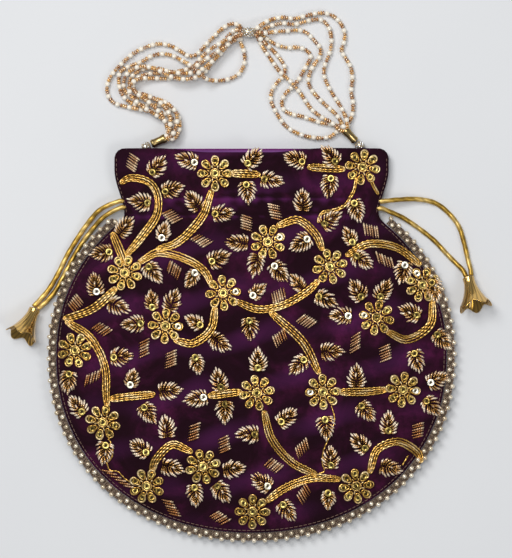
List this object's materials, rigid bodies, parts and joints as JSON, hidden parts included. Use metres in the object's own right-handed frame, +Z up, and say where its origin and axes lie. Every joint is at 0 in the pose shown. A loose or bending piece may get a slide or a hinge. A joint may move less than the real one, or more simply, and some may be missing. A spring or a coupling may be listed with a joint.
{
  "type": "potli bag",
  "caption": "Flat rounded velvet drawstring pouch with zardozi embroidery, a beaded edge, bell-ended drawcords and a beaded strap.",
  "frame": {"origin": "on the floor under the middle of the pouch and its beaded trim, with the cords and strap left out", "axes": "+Z up from the floor through the flat-lying pouch, +Y from the pouch's bottom to its mouth, +X across the pouch to the right as seen from above"},
  "size_m": [0.2666, 0.2926, 0.0231],
  "materials": {
    "velvet": "dark purple silk velvet pile",
    "lining_satin": "smooth satin weave",
    "silver_gold_braid": "metallic thread braid with sewn balls",
    "gold_cord": "gold tissue cord",
    "gold_metal": "polished gold plating",
    "amber_beads": "fire-polished seed beads with cream pearls"
  },
  "bodies": {
    "root": {"front_panel": "velvet", "back_panel": "velvet", "lining": "lining_satin", "bead_trim": "silver_gold_braid", "drawcord_left_upper": "gold_cord", "drawcord_left_lower": "gold_cord", "drawcord_right_upper": "gold_cord", "drawcord_right_lower": "gold_cord", "bell_left": "gold_metal", "bell_right": "gold_metal", "link_ball_left": "gold_metal", "link_ball_right": "gold_metal", "end_cap_left": "gold_metal", "end_cap_right": "gold_metal", "centre_bead": "gold_metal", "strand_left_1": "amber_beads", "strand_left_2": "amber_beads", "strand_left_3": "amber_beads", "strand_left_4": "amber_beads", "strand_left_5": "amber_beads", "strand_left_6": "amber_beads", "strand_right_1": "amber_beads", "strand_right_2": "amber_beads", "strand_right_3": "amber_beads", "strand_right_4": "amber_beads", "strand_right_5": "amber_beads", "strand_right_6": "amber_beads"}
  },
  "joints": []
}
